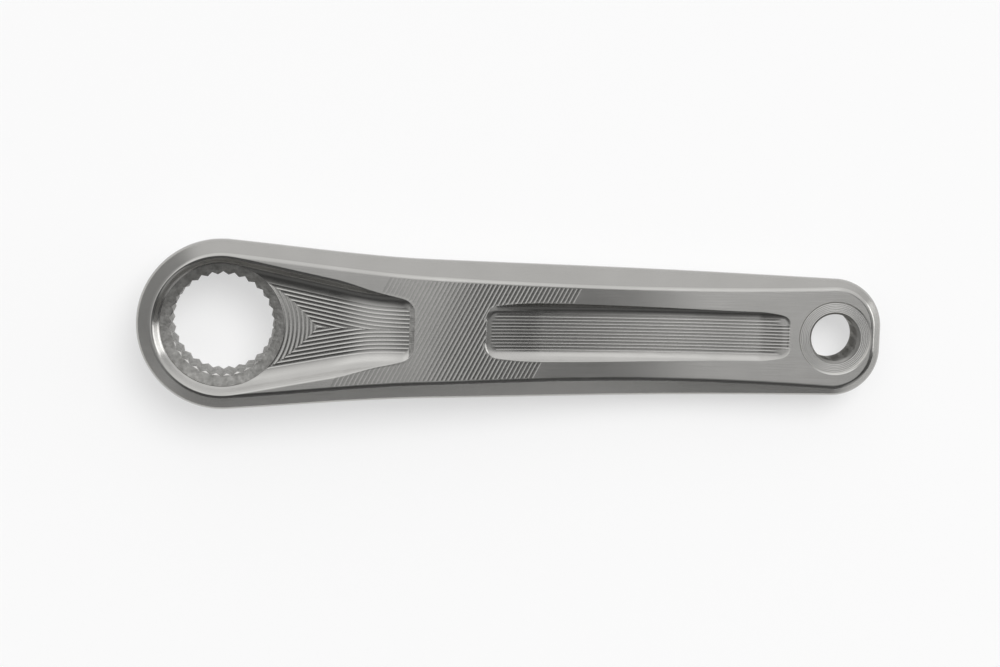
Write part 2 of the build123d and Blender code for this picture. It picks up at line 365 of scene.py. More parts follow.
def loop_groove(x, y):
    """Grooves at equal distances in from the floor's nearest border: the ledge or a side."""
    from_ledge = np.hypot(x, y) - LEDGE_R
    from_side = np.maximum(trough_half(np.maximum(x, 0)) - np.abs(y), 0) * side_squareness(x)
    beside = leaning_groove(from_side / LOOP_PITCH * np.sign(y))
    return np.where(from_side < from_ledge, beside, groove(from_ledge / LOOP_PITCH))


print("loop, slant and lengthwise pitch:", LOOP_PITCH, SLANT_PITCH, round(LENGTH_PITCH, 2))

# %% Depth of the tool marks
LOOP_DEPTH, SLANT_DEPTH, LENGTH_DEPTH, DIMPLE_DEPTH = 0.13, 0.05, 0.036, 0.04
# slanted passes: strength at the first, where it grows, where it falls, strength at the last
SLANT_FIRST, SLANT_GROWS, SLANT_FALLS, SLANT_LAST = 0.42, (50, 64), 66, 0.5
# how far marks take to die out at a rim, at the trough's end and at the pocket's ends
RIM_FADE, STRIP_FADE, POCKET_FADE, POCKET_GAP = 0.5, 0.3, 0.5, 0.05
# share lost by the loops up the ramp, and gained by the pocket's marks before its end
RAMP_LOSS, END_GAIN, END_GAIN_FROM, END_GAIN_TO = 0.6, 0.6, 12, 2
# rounding of the trough's rim, the share of it lost along the ramp, and where that ends
RIM_BLEND, RIM_CRISP, RIM_CRISP_FROM = 0.5, 0.98, 6
# reach of the pocket's rounded corners along it
CORNER_REACH = 3


def face_marks(x, y):
    """Depth of the slanted marks: deepest before the pocket, dying out towards the rims."""
    across = slant_place(x, y)
    strength = SLANT_FIRST + (1 - SLANT_FIRST) * ease(across, *SLANT_GROWS)
    strength *= 1 - (1 - SLANT_LAST) * ease(across, SLANT_FALLS, SLANT_TO)
    beside = np.abs(y) > POCKET_HALF - FLOOR_CORNER
    above_rim = np.minimum(trough(x, y), pocket(x, y)) - outer_face(x, y)
    strength *= np.where(beside, ease(above_rim, 0, RIM_FADE), 1)
    strength *= on_slant(x, y) & (past_flat(x, y) < 0)
    return SLANT_DEPTH * strength * leaning_groove((across - SLANT_FROM) / SLANT_PITCH)


def trough_marks(x, y):
    """Depth of the looped marks on the trough floor, and of the dimples in the strip at its end."""
    strip = np.clip((TROUGH_END - x) / STRIP_FADE, 0, 1) * (np.abs(y) < STRIP_HALF)
    depth = LOOP_DEPTH * (1 - RAMP_LOSS * ease(x, RAMP_FOOT, TROUGH_END - TROUGH_RAMP / 2))
    loops = depth * loop_groove(x, y) * (past_trough_floor(x, y) <= 0)
    return np.where(x > TROUGH_FLOOR_END, DIMPLE_DEPTH * strip * groove(y / DIMPLE_PITCH), loops)


def pocket_marks(x, y):
    """Depth of the lengthwise marks on the long pocket's floor, which die out before its rim."""
    at_corners = np.minimum(x - POCKET_START, POCKET_END - x) < CORNER_REACH
    inside = np.abs(y) < POCKET_HALF - FLOOR_CORNER * at_corners
    from_end = np.minimum(x - POCKET_FLOOR_START, POCKET_END - POCKET_GAP - x)
    gain = 1 + END_GAIN * ease(x, POCKET_END - END_GAIN_FROM, POCKET_END - END_GAIN_TO)
    depth = LENGTH_DEPTH * gain * np.clip(from_end / POCKET_FADE, 0, 1) * inside
    return depth * leaning_groove((POCKET_HALF - y) / LENGTH_PITCH)


def soft_lower(first, second, blend):
    """Lower of two heights, the crease rounded: less (blend - gap) squared over 4 blend near it."""
    near_crease = np.maximum(blend - np.abs(first - second), 0)
    return np.minimum(first, second) - near_crease**2 / (4 * blend)


def outer_height(x, y):
    """Lowest of the three cut surfaces, marks included, with the trough's rim polished round."""
    blend = RIM_BLEND * (1 - RIM_CRISP * ease(x, RAMP_FOOT, TROUGH_END - RIM_CRISP_FROM))
    face, floor = outer_face(x, y) - face_marks(x, y), trough(x, y) - trough_marks(x, y)
    return np.minimum(soft_lower(face, floor, blend), pocket(x, y) - pocket_marks(x, y))


print("deepest marks, the loops:", LOOP_DEPTH, "mm")

# %% [markdown]
# ## Lines that the plan's triangles have to follow
# Rims and edges are crisp, and triangles that cut across one would blunt it. A very fine grid
# could hide that, at the cost of millions of faces. So the plan is triangulated along chosen
# lines: each pocket's rim and cove, and the rounding at the face's edge.

# %% Lines of the rims, coves and edges
plan_lines = []
HALVINGS = 40
TROUGH_COVE_LINES, POCKET_COVE_LINES, EDGE_STEPS = 12, 7, 5
CORNER_POINTS, END_POINTS, SIDE_POINTS, ENTRY_POINTS = 10, 15, 41, 15
# lines outside the trough's rim that carry its rounding, in mm
ROUND_RIM_LINES = (0.1, 0.2, 0.32, 0.46)
# run of the trough's side beside the bore, with a point for every millimetre
BESIDE_BORE = 12


def add_line(points, closed=False):
    """Adds a polyline of plan points, with an edge from each point to the next."""
    first = np.arange(len(points) - (not closed))
    plan_lines.append((points, columns(first, (first + 1) % len(points))))


def add_runs(points, keep):
    """Adds a family of lines, one per row, only where both ends of an edge are kept."""
    index = np.arange(keep.size).reshape(keep.shape)
    joined = keep[:, :-1] & keep[:, 1:]
    edges = columns(index[:, :-1][joined], index[:, 1:][joined])
    used, edges = np.unique(edges, return_inverse=True)
    plan_lines.append((points.reshape(-1, 2)[used], edges.reshape(-1, 2)))


def rim_distance(foot, out, height, radius):
    """How far a cove runs out from its foot before it meets the face, by halving the gap."""
    low, high = np.zeros(len(foot)), np.full(len(foot), radius)
    for _ in range(HALVINGS):
        middle = (low + high) / 2
        x, y = (foot + out * middle[:, None]).T
        above = height(x, y) > outer_face(x, y)
        low, high = np.where(above, low, middle), np.where(above, middle, high)
    return low


def add_cove(foot, out, height, radius, steps, past_rim=()):
    """Adds lines round a cove, at equal turns of its circle up to the rim and past_rim outside."""
    rim = rim_distance(foot, out, height, radius)
    for step in range(steps + 1):
        reach = radius * np.sin(np.arcsin(rim / radius) * step / steps)
        add_line(foot + out * reach[:, None], True)
    for past in past_rim:
        add_line(foot + out * (rim + past)[:, None], True)


def floor_side(x, half):
    """Feet and outward directions along the +Y side of a floor."""
    return columns(x, half), columns(0 * x, 1)


def floor_end(end_x, half, hand):
    """Feet and outward directions round one end of a floor, from its +Y corner to its -Y corner."""
    turn = np.radians(np.linspace(90, 0, CORNER_POINTS))[1:]
    across = np.linspace(1, -1, END_POINTS)[1:-1] * (half - FLOOR_CORNER)
    out = columns(np.cos(turn), np.sin(turn))
    corner = np.array([end_x * hand - FLOOR_CORNER, half - FLOOR_CORNER]) + FLOOR_CORNER * out
    parts = (corner, columns(end_x * hand, across)), (out, columns(1, 0 * across))
    flip, turned = np.array([1, -1]), np.array([hand, 1])
    return tuple(np.vstack([bend, flat, (bend * flip)[::-1]]) * turned for bend, flat in parts)


def closed_border(side, far_end, closing):
    """Joins the side, the far end, the same side mirrored, and what closes the loop."""
    back = tuple((part * np.array([1, -1]))[::-1] for part in side)
    return tuple(np.vstack(parts) for parts in zip(side, far_end, back, closing))


turn = np.radians(np.linspace(270, 90, BOSS_STATIONS)[1:-1])
ring_out = columns(np.cos(turn), np.sin(turn))
run_x = np.append(
    np.linspace(0, BESIDE_BORE, BESIDE_BORE + 1),
    np.linspace(BESIDE_BORE, TROUGH_FLOOR_END - FLOOR_CORNER, SIDE_POINTS)[1:])
foot, out = closed_border(
    floor_side(run_x, trough_half(run_x)),
    floor_end(TROUGH_FLOOR_END, trough_half(TROUGH_FLOOR_END), 1),
    (ring_out * RING_FLOOR_R, ring_out))
add_cove(foot, out, trough, COVE_R, TROUGH_COVE_LINES, ROUND_RIM_LINES)

# closer points down the dip, which has flattened out 2 mm before its end
entry = POCKET_FLOOR_START + FLOOR_CORNER + (POCKET_RUN_IN - 2) * np.linspace(0, 1, ENTRY_POINTS)
run_x = np.append(entry, np.linspace(entry[-1], POCKET_FLOOR_END - FLOOR_CORNER, SIDE_POINTS)[1:])
foot, out = closed_border(
    floor_side(run_x, POCKET_HALF), floor_end(POCKET_FLOOR_END, POCKET_HALF, 1),
    tuple(part[::-1] for part in floor_end(POCKET_FLOOR_START, POCKET_HALF, -1)))
add_cove(foot, out, pocket, POCKET_COVE_R, POCKET_COVE_LINES)

for step in range(EDGE_STEPS + 1):
    past = OUTER_EDGE_R * np.sin(BEVEL_ANGLE * step / EDGE_STEPS)
    outward = rounding_start(section_x) + past - section_inner
    add_line(columns(base_x + out_x * outward, base_y + out_y * outward), True)
print("rim, cove and edge lines:", len(plan_lines))

# %% [markdown]
# ## Lines along the tool marks
# A groove needs its two ridges, its bottom and a line between. A finer grid could give them too,
# but four lines to a pitch need far fewer points. Each line runs a step past its own area, where
# it meets a border line.

# %% Lines along the tool marks
FINE, LOOP_PASSES, SEAT_MARGIN = 4, 9, 0.6


def leaning_phases(count):
    """Phases of the lines along leaning grooves: ridge, halfway, bottom and halfway of each."""
    return (np.arange(count)[:, None] + np.array([0, BOTTOM / 2, BOTTOM, (1 + BOTTOM) / 2])).ravel()


def near(mask):
    """Widens a row mask by one sample on both sides."""
    wide = mask.copy()
    wide[:, 1:] |= mask[:, :-1]
    wide[:, :-1] |= mask[:, 1:]
    return wide


def from_pedal(x, y):
    """Distance from the pedal axis in plan."""
    return np.hypot(x - CRANK_LENGTH, y)


def on_face(x, y):
    """True on the flat of the face, off both pockets and the two holes."""
    clear = outer_face(x, y) < np.minimum(trough(x, y), pocket(x, y))
    return clear & (from_pedal(x, y) > SEAT_R + SEAT_MARGIN) & (past_flat(x, y) < 0)


# slanted passes, in half millimetre steps from well outside both edges
across = SLANT_FROM + SLANT_PITCH * np.append(leaning_phases(SLANT_PASSES), SLANT_PASSES)[:, None]
along = np.linspace(-50, 80, 261)
x = across * np.sin(SLANT_ANGLE) + along * np.cos(SLANT_ANGLE)
y = -across * np.cos(SLANT_ANGLE) + along * np.sin(SLANT_ANGLE)
add_runs(columns(x, y), near(on_face(x, y)))

# loops: along both sides of the trough, round the ledge, and the seam where the two sides meet
for hand in (1, -1):
    phases = np.sort(np.mod(hand * leaning_phases(LOOP_PASSES), LOOP_PASSES))
    in_from_edge = LOOP_PITCH * phases[1:, None]
    x = np.linspace(8, TROUGH_FLOOR_END, 121)
    y = trough_half(x) - in_from_edge / side_squareness(x)
    own = (y > 0) & (np.hypot(x, y) - LEDGE_R > in_from_edge)
    add_runs(columns(x, hand * y), near(own) & (np.hypot(x, y) > LEDGE_R + 0.1))
in_from_edge = np.arange(1, LOOP_PASSES * FINE)[:, None] * LOOP_PITCH / FINE
turn = np.radians(np.linspace(-60, 60, 121))
x, y = ((LEDGE_R + in_from_edge) * f(turn) for f in (np.cos, np.sin))
own = (trough_half(x) - np.abs(y)) * side_squareness(x) > in_from_edge
add_runs(columns(x, y), near(own) & (x < TROUGH_FLOOR_END))
seam = np.linspace(LEDGE_R + 4, TROUGH_FLOOR_END, 61)
add_line(columns(seam, 0))

# dimples in the strip at the trough's end
y = np.arange(-STRIP_HALF, STRIP_HALF, DIMPLE_PITCH / FINE)[:, None]
x = np.append(np.linspace(TROUGH_FLOOR_END, TROUGH_END - 0.35, 4), TROUGH_END - 0.05)
add_runs(columns(x, y), np.ones((y.size, x.size), bool))

# lengthwise passes, with closer points where they start and where they run up the far end
y = POCKET_HALF - LENGTH_PITCH * leaning_phases(LENGTH_PASSES)[1:, None]
x = np.sort(np.concatenate([
    POCKET_FLOOR_START + np.array([0, 0.2, 0.4, 0.6]), entry,
    np.linspace(entry[-1], POCKET_FLOOR_END - FLOOR_CORNER, 31)[1:],
    POCKET_FLOOR_END - np.array([0.9, 0.4, 0]),
    POCKET_END - np.array([0.7, 0.5, 0.3, POCKET_GAP])]))
add_runs(columns(x, y), up_pocket_end(x, y) | (past_pocket_floor(x, y) < 0.01))
print("all lines:", len(plan_lines), "points:", sum(len(p) for p, _ in plan_lines))

# %% [markdown]
# ## One triangle net for the outer side
# The borders of the two holes go in as lines too. Blender's knife could cut them out later, but
# its constrained Delaunay function joins all the lines into one net. Triangles inside the holes
# are dropped, and each point is lifted to its height.

# %% Triangulate the plan and lift it
TOOTH_FLANK_POINTS, SEAT_POINTS, GRID = 4, 144, 2.5
# points nearer than MERGE become one, and a triangle within SLACK of a border counts as past it
MERGE, SLACK = 1e-4, 0.02


def triangle_net(points, edges):
    """Points and triangles of the constrained Delaunay net over plan points and their edges."""
    net = delaunay_2d_cdt(points.tolist(), edges.tolist(), [], 1, MERGE, False)
    return np.array([tuple(point) for point in net[0]]), np.array(net[2])


tooth_turn = np.radians(np.arange(0, 360, 360 / (2 * TEETH * TOOTH_FLANK_POINTS)))
add_line(LEDGE_R * columns(np.cos(tooth_turn), np.sin(tooth_turn)), True)
seat_turn = np.radians(np.arange(0, 360, 360 / SEAT_POINTS))
seat_ring = columns(np.cos(seat_turn), np.sin(seat_turn))
add_line((SEAT_R + SEAT_BREAK) * seat_ring + np.array([CRANK_LENGTH, 0]), True)

grid_x, grid_y = (
    a.ravel() for a in np.meshgrid(np.arange(-20, ARM_END, GRID), np.arange(-20, 20.1, GRID)))
unmarked = on_face(grid_x, grid_y) & ~on_slant(grid_x, grid_y)
spots = columns(grid_x, grid_y)[unmarked]
shift = np.cumsum([0] + [len(points) for points, _ in plan_lines])
all_points = np.vstack([points for points, _ in plan_lines] + [spots])
all_edges = np.vstack([edges + start for (_, edges), start in zip(plan_lines, shift)])
plan, triangles = triangle_net(all_points, all_edges)
middle = plan[triangles].mean(1)
solid = (np.hypot(*middle.T) > LEDGE_R) & (from_pedal(*middle.T) > SEAT_R + SEAT_BREAK)
solid &= past_flat(*middle.T) < EDGE_WIDTH - SLACK
triangles, middle = triangles[solid], middle[solid]
outer_points = columns(*plan.T, outer_height(*plan.T))
print("outer side:", len(plan), "points,", len(triangles), "triangles")

# %% [markdown]
# ## The splined bore
# Thirty triangular teeth line the hole that takes the spindle, below a dull sloping ledge. One
# tooth could be copied round by an Array modifier, but then its seams have to be closed. So rows
# of points run down the ledge, over the ends of the teeth, which slope more to lead the spindle
# in, and along them to a bevel. A tooth's flank is flat: its radius at any angle is where a ray
# meets the line from a tip to the next root.

# %% Rows of the bore
LEDGE_ROWS, TOOTH_ROWS, BORDER_SLACK = 6, 7, 0.05


def border_ring(centre_x, radius):
    """Border points of the triangle net round a hole, in order of angle."""
    sides = np.vstack([triangles[:, [0, 1]], triangles[:, [1, 2]], triangles[:, [2, 0]]])
    pairs, count = np.unique(np.sort(sides, axis=1), axis=0, return_counts=True)
    border = np.unique(pairs[count == 1])
    around = plan[border] - np.array([centre_x, 0])
    border = border[np.hypot(*around.T) < radius + BORDER_SLACK]
    return border[np.argsort(np.arctan2(plan[border, 1], plan[border, 0] - centre_x))]


def tooth_radius(turn):
    """Radius of the toothed outline: r1 r2 sin(step) over r1 sin(past) + r2 sin(step - past)."""
    step = np.pi / TEETH
    place = np.mod(turn, 2 * step)
    rising, past = place < step, np.mod(place, step)
    first = np.where(rising, TOOTH_TIP_R, TOOTH_ROOT_R)
    last = np.where(rising, TOOTH_ROOT_R, TOOTH_TIP_R)
    return first * last * np.sin(step) / (first * np.sin(past) + last * np.sin(step - past))


def turned_rows(centre_x, turn, radius, height):
    """Rows of points round an axis: radius and height for every row and every angle."""
    return columns(centre_x + radius * np.cos(turn), radius * np.sin(turn), height)


ledge_border = border_ring(0.0, LEDGE_R)
bore_turn = np.arctan2(plan[ledge_border, 1], plan[ledge_border, 0])
tooth_r = tooth_radius(bore_turn)
ledge_z = BOSS_THICKNESS - LEDGE_DEPTH
share = np.linspace(0, 1, LEDGE_ROWS)[:, None]
ledge_r = np.vstack([LEDGE_R + (np.maximum(LEAD_IN_R, tooth_r) - LEDGE_R) * share, tooth_r])
slope_down = LEDGE_DIP * (LEDGE_R - ledge_r) / (LEDGE_R - TOOTH_TIP_R)
lead_in = LEAD_IN_SLOPE * np.maximum(LEAD_IN_R - ledge_r, 0)
ledge_rows = turned_rows(0.0, bore_turn, ledge_r, ledge_z - slope_down - lead_in)
bevel_reach = TOOTH_ROOT_R - TOOTH_TIP_R + BORE_BEVEL
top_z, low_z = ledge_rows[-1, :, 2], bevel_reach - (tooth_r - TOOTH_TIP_R)
share = np.linspace(0, 1, TOOTH_ROWS)[1:, None]
tooth_rows = turned_rows(0.0, bore_turn, tooth_r, top_z + (low_z - top_z) * share)
bevel_row = turned_rows(0.0, bore_turn, TOOTH_TIP_R + bevel_reach, 0)
bore_rows = np.concatenate([
    outer_points[ledge_border][None], ledge_rows, tooth_rows, bevel_row[None]])
print("bore:", bore_rows.shape[0], "rows of", bore_rows.shape[1], "points")

# %% [markdown]
# ## The pedal hole
# A flat seat for the pedal's washer, turned with fine rings, and a hole with a fine thread. A
# Screw modifier could make the thread, but its ends are hard to close. Here it is a groove that
# moves down by one pitch for each turn, so a point's radius depends on its height plus a share of
# its angle, and the rows stay plain rings.

# %% Rows of the pedal hole
THREAD_PITCH, THREAD_DEPTH, THREAD_FADE, THREAD_ROWS = 1.27, 0.5, 0.5, 105
# the V's depth at its middle and how fast it closes; above 1 its root is cut off flat
VEE_MIDDLE, VEE_SLOPE = 1.15, 2.3
SEAT_RINGS, RING_DEPTH, ROWS_PER_RING = 6, 0.015, 8


def thread_radius(turn, height):
    """Radius of the thread: a V groove along height plus pitch times turns, faded at both ends."""
    f = np.mod(height / THREAD_PITCH + turn / (2 * np.pi), 1.0)
    vee = np.clip(VEE_MIDDLE - VEE_SLOPE * np.abs(f - 0.5), 0, 1)
    ends = np.minimum(height - PEDAL_BEVEL, SEAT_Z - PEDAL_BEVEL - height)
    return PEDAL_R + THREAD_DEPTH * vee * np.clip(ends / THREAD_FADE, 0, 1)


def pedal_turned(radius, height):
    """Rows of points round the pedal axis, at the angles of the seat's border."""
    return turned_rows(CRANK_LENGTH, hole_turn, radius, height)


seat_border = border_ring(CRANK_LENGTH, SEAT_R + SEAT_BREAK)
hole_turn = np.arctan2(plan[seat_border, 1], plan[seat_border, 0] - CRANK_LENGTH)
wall_row = pedal_turned(SEAT_R, outer_points[seat_border, 2] - SEAT_BREAK)
seat_r = np.linspace(SEAT_R, MOUTH_R, ROWS_PER_RING * SEAT_RINGS + 1)[:, None]
ring_phase = (SEAT_R - seat_r) / (SEAT_R - MOUTH_R) * SEAT_RINGS
seat_rows = pedal_turned(seat_r, SEAT_Z - RING_DEPTH * groove(ring_phase))
thread_z = np.linspace(SEAT_Z - PEDAL_BEVEL, PEDAL_BEVEL, THREAD_ROWS)[:, None]
thread_rows = pedal_turned(thread_radius(hole_turn, thread_z), thread_z)
mouth_row = pedal_turned(MOUTH_R, 0)
pedal_rows = np.concatenate([
    outer_points[seat_border][None], wall_row[None], seat_rows, thread_rows, mouth_row[None]])
print("pedal hole:", pedal_rows.shape[0], "rows of", pedal_rows.shape[1], "points")

# %% [markdown]
# ## One closed mesh
# The arm is one piece of metal, so all its surfaces share their border points. Blender could guess
# the shading from the faces, but a guess smears a crisp ridge. So each corner gets the exact
# normal of its own surface, from the height's slopes or the profile's heading.

# %% Faces and normals of every surface
# where a corner's slope is measured, as a share of the way into its triangle, and its step
INTO_TRIANGLE, NORMAL_STEP = 0.06, 2e-3
# second loop inside the inner face's border, which keeps the triangles at its edge short
INSET = 1


def ring_quads(rows, around, start):
    """Quads between neighbouring rows, each row closed on itself."""
    low, i = np.arange(rows - 1)[:, None] * around, np.arange(around)
    nxt, high = (i + 1) % around, low + around
    return start + columns(low + i, low + nxt, high + nxt, high + i).reshape(-1, 4)


def outer_normals(faces, centres):
    """Normal at each corner from the height's slopes, measured just inside its triangle."""
    spot = plan[faces] + INTO_TRIANGLE * (centres[:, None] - plan[faces])
    x, y, h = spot[..., 0], spot[..., 1], NORMAL_STEP
    slope_x = (outer_height(x + h, y) - outer_height(x - h, y)) / (2 * h)
    slope_y = (outer_height(x, y + h) - outer_height(x, y - h)) / (2 * h)
    normal = columns(-slope_x, -slope_y, 1)
    return normal / np.linalg.norm(normal, axis=-1, keepdims=True)


def turned_to(faces, points, sign):
    """Triangles whose plan area has the given sign, with the corners reversed where it hasn't."""
    a, b, c = (points[faces[:, k]] for k in range(3))
    area = (b - a)[:, 0] * (c - a)[:, 1] - (b - a)[:, 1] * (c - a)[:, 0]
    return np.where((area * sign > 0)[:, None], faces, faces[:, ::-1])


triangles = turned_to(triangles, plan, 1)
inset_u = side_u[:, 0] - INSET
inset = columns(base_x + out_x * inset_u, base_y + out_y * inset_u)
inner_loops = [side_points[:, 0, :2], bore_rows[-1, :, :2], pedal_rows[-1, :, :2], inset]
loop_start = np.cumsum([0] + [len(loop) for loop in inner_loops])
inner_edges = np.vstack([
    start + columns(np.arange(len(loop)), (np.arange(len(loop)) + 1) % len(loop))
    for loop, start in zip(inner_loops, loop_start)])
inner_plan, inner_triangles = triangle_net(np.vstack(inner_loops), inner_edges)
centre = inner_plan[inner_triangles].mean(1)
outward, section = plan_place(*centre.T)
reach = side_profile(section, 0 * section, 2)[0][:, 0]
solid = (np.hypot(*centre.T) > TOOTH_TIP_R + bevel_reach) & (outward < reach - SLACK)
solid &= from_pedal(*centre.T) > MOUTH_R
inner_triangles = turned_to(inner_triangles[solid], inner_plan, -1)
inner_points = columns(*inner_plan.T, 0)

surfaces = [outer_points, inner_points, side_points.swapaxes(0, 1).reshape(-1, 3),
            bore_rows.reshape(-1, 3), pedal_rows.reshape(-1, 3)]
starts = np.cumsum([0] + [len(points) for points in surfaces])
side_quads = ring_quads(side_points.shape[1], side_points.shape[0], 0)
quads = [side_quads + starts[2], ring_quads(*bore_rows.shape[:2], starts[3]),
         ring_quads(*pedal_rows.shape[:2], starts[4])]
# the two holes keep zeros, which leave their normals to Blender
corner_normals = np.concatenate([
    outer_normals(triangles, middle).reshape(-1, 3),
    np.tile([0, 0, -1.0], (inner_triangles.size, 1)),
    side_normals.swapaxes(0, 1).reshape(-1, 3)[side_quads].reshape(-1, 3),
    np.zeros((quads[1].size + quads[2].size, 3))])
print("triangles:", len(triangles) + len(inner_triangles), "quads:", [len(q) for q in quads])

# %% [markdown]
# ## Which surface has which finish
# Each tool left its own finish. They could be separate objects, but the arm is one piece, so every
# face of the one mesh carries a number for its finish.

# %% Finish of every face
BEVEL, PLAIN, RIDGES, COVE, LEDGE, SEAT, THREAD = range(7)
mx, my = middle.T
in_trough = trough(mx, my) < np.minimum(outer_face(mx, my), pocket(mx, my))
in_pocket = pocket(mx, my) < np.minimum(outer_face(mx, my), trough(mx, my))
trough_cove = in_trough & (past_trough_floor(mx, my) > 0)
pocket_cove = in_pocket & (past_pocket_floor(mx, my) > 0) & ~up_pocket_end(mx, my)
outer_finish = np.select(
    [in_trough & (mx > TROUGH_FLOOR_END), trough_cove, in_trough, pocket_cove, in_pocket,
     past_flat(mx, my) > 0, on_slant(mx, my)],
    [LEDGE, COVE, RIDGES, COVE, RIDGES, COVE, RIDGES], PLAIN)
bore_bands = [LEDGE] * (len(ledge_rows) - 1) + [SEAT] + [LEDGE] * (len(tooth_rows) + 1)
pedal_bands = [SEAT] * (len(seat_rows) + 1) + [THREAD] * (len(thread_rows) + 1)
face_finish = np.concatenate([
    outer_finish, np.full(len(inner_triangles), PLAIN), np.full(len(quads[0]), BEVEL),
    np.repeat(bore_bands, bore_rows.shape[1]), np.repeat(pedal_bands, pedal_rows.shape[1])])
print("faces per finish, in that order:", np.bincount(face_finish).tolist())

# %% [markdown]
# ## Weld the surfaces together
# The surfaces meet in doubled border points. They could stay apart, but hairline gaps would show,
# so Blender's Merge by Distance closes them, here through bmesh. The exact normals travel with the
# corners as an attribute.

# %% Put the surfaces into one mesh
MM = 0.001
# points nearer than this, in mm, are one, and a sharper edge than this stays a crease
WELD, CREASE = 0.002, np.radians(24)


def add_object(name, data):
    """Adds an object with that data to the scene."""
    added = bpy.data.objects.new(name, data)
    bpy.context.scene.collection.objects.link(added)
    return added


mesh = bpy.data.meshes.new("milled_crank_arm")
mesh.from_pydata(
    (np.vstack(surfaces) * MM).tolist(), [],
    triangles.tolist() + (inner_triangles + starts[1]).tolist() + np.vstack(quads).tolist())
mesh.polygons.foreach_set("material_index", face_finish.astype(np.int32))
mesh.polygons.foreach_set("use_smooth", np.ones(len(mesh.polygons), bool))
kept = mesh.attributes.new("surface_normal", "FLOAT_VECTOR", "CORNER")
kept.data.foreach_set("vector", corner_normals.ravel().astype(np.float32))

shell = bmesh.new()
shell.from_mesh(mesh)
bmesh.ops.remove_doubles(shell, verts=list(shell.verts), dist=WELD * MM)
loose = [v for v in shell.verts if not v.link_faces]
bmesh.ops.delete(shell, geom=loose, context="VERTS")
open_edges = sum(1 for e in shell.edges if len(e.link_faces) != 2)
volume = shell.calc_volume(signed=True) / MM**3
shell.to_mesh(mesh)
shell.free()
mesh.set_sharp_from_angle(angle=CREASE)
exact = np.zeros(len(mesh.loops) * 3, np.float32)
mesh.attributes["surface_normal"].data.foreach_get("vector", exact)
mesh.attributes.remove(mesh.attributes["surface_normal"])
mesh.normals_split_custom_set(exact.reshape(-1, 3).tolist())
arm = add_object("milled_crank_arm", mesh)
print("one mesh:", len(mesh.polygons), "faces, open edges:", open_edges)
print("volume:", round(volume), "cubic mm")

# %% [markdown]
# ## Finishes
# All of it is bare 6000-series aluminium, and mostly the way it was cut differs. A metal's base
# colour is that of its reflection, a slightly warm light grey, and its finish is in how rough it
# is and which way its fine scratches run. Three greys also carry painted light: the bevels' and
# the thread's darker greys are painted shade, and the seat's lighter grey is a painted sheen.
# Photographs of metal could be wrapped round it, but they carry their own light. So each finish is
# one Principled shader, its roughness broken up by a noise that is stretched along the cut.
# Colours are sRGB hex, turned into the linear light that a shader counts in.

# %% Colour and node helpers


def linear(code):
    """sRGB hex to linear colour: a power of 2.4 above the toe, a straight line below it."""
    srgb = np.array([int(code[i : i + 2], 16) for i in (1, 3, 5)]) / 255
    return (*np.where(srgb > 0.04045, ((srgb + 0.055) / 1.055) ** 2.4, srgb / 12.92).tolist(), 1.0)


def add_node(tree, kind, inputs=(), **settings):
    """Adds a shader node, sets its properties, and fills its inputs with values or links."""
    node = tree.nodes.new("ShaderNode" + kind)
    for name, value in settings.items():
        setattr(node, name, value)
    for name, value in dict(inputs).items():
        if isinstance(value, bpy.types.NodeSocket):
            tree.links.new(value, node.inputs[name])
        else:
            node.inputs[name].default_value = value
    return node


def combine(tree, operation, *factors):
    """Factors combined by a maths operation, one after the other."""
    result = factors[0]
    for factor in factors[1:]:
        joint = add_node(tree, "Math", {0: result, 1: factor}, operation=operation)
        result = joint.outputs["Value"]
    return result


def fade(tree, value, start, end, low, high):
    """Smooth change of a factor from low to high while the value goes from start to end."""
    return add_node(tree, "MapRange", {
        "Value": value, "From Min": start, "From Max": end, "To Min": low, "To Max": high},
        interpolation_type="SMOOTHSTEP").outputs["Result"]


def own_tree(block):
    """Switches a material or a world to nodes and empties its tree."""
    block.use_nodes = True
    block.node_tree.nodes.clear()
    return block.node_tree


print("light grey metal in linear colour:", [round(c, 3) for c in linear("#C9C8C5")])

# %% Aluminium finishes


def aluminium(name, light, dark, cloud_mm, rough, grain_mm, bump_mm):
    """Bare aluminium between two greys in clouds of cloud_mm, with a range of roughness.

    grain_mm is the size of a scratch along X, Y and Z, bump_mm its depth."""
    material = bpy.data.materials.new(name)
    tree = own_tree(material)
    place = add_node(tree, "TexCoord").outputs["Object"]
    stretch = add_node(tree, "Mapping", {
        "Vector": place, "Scale": [1 / (size * MM) for size in grain_mm]})
    scratch = add_node(tree, "TexNoise", {
        "Vector": stretch.outputs["Vector"], "Scale": 1.0, "Detail": 3.0, "Roughness": 0.6})
    cloud = add_node(tree, "TexNoise", {
        "Vector": place, "Scale": 1 / (cloud_mm * MM), "Detail": 4.0})
    colour = add_node(tree, "Mix", {
        "Factor": cloud.outputs["Fac"], "A": linear(dark), "B": linear(light)}, data_type="RGBA")
    spread = add_node(tree, "MapRange", {
        "Value": scratch.outputs["Fac"], "From Min": 0.3, "From Max": 0.7,
        "To Min": rough[0], "To Max": rough[1]})
    bump = add_node(tree, "Bump", {
        "Height": scratch.outputs["Fac"], "Distance": bump_mm * MM, "Strength": 1.0})
    shader = add_node(tree, "BsdfPrincipled", {
        "Base Color": colour.outputs["Result"], "Metallic": 1.0,
        "Roughness": spread.outputs["Result"], "Normal": bump.outputs["Normal"]})
    add_node(tree, "OutputMaterial", {"Surface": shader.outputs["BSDF"]})
    return material


